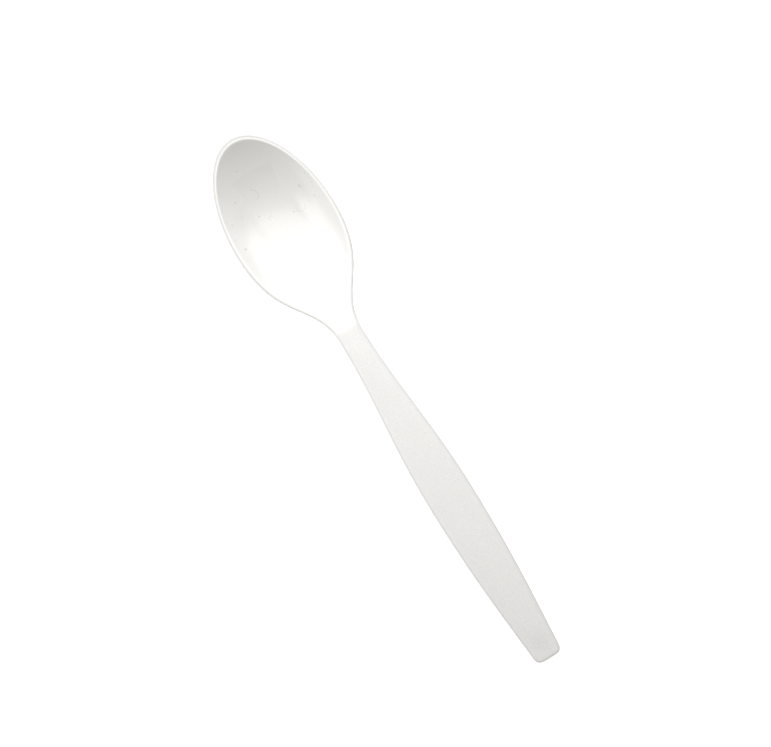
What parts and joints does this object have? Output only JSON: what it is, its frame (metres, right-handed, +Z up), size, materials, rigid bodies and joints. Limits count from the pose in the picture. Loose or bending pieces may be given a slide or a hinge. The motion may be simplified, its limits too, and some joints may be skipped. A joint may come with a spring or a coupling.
{
  "type": "disposable plastic teaspoon",
  "caption": "White moulded teaspoon with a shallow oval bowl, a flat rim, a slim neck and an arched handle that is a channel underneath.",
  "frame": {"origin": "on the surface the spoon lies on, under the middle of its length and of its width", "axes": "+X along the length towards the tip of the bowl, +Y across the width, +Z up out of the bowl"},
  "size_m": [0.152, 0.0282, 0.0101],
  "materials": {
    "white_plastic": "gloss in the bowl, fine matte grain on the top of the handle"
  },
  "bodies": {
    "root": {"spoon": "white_plastic"}
  },
  "joints": []
}
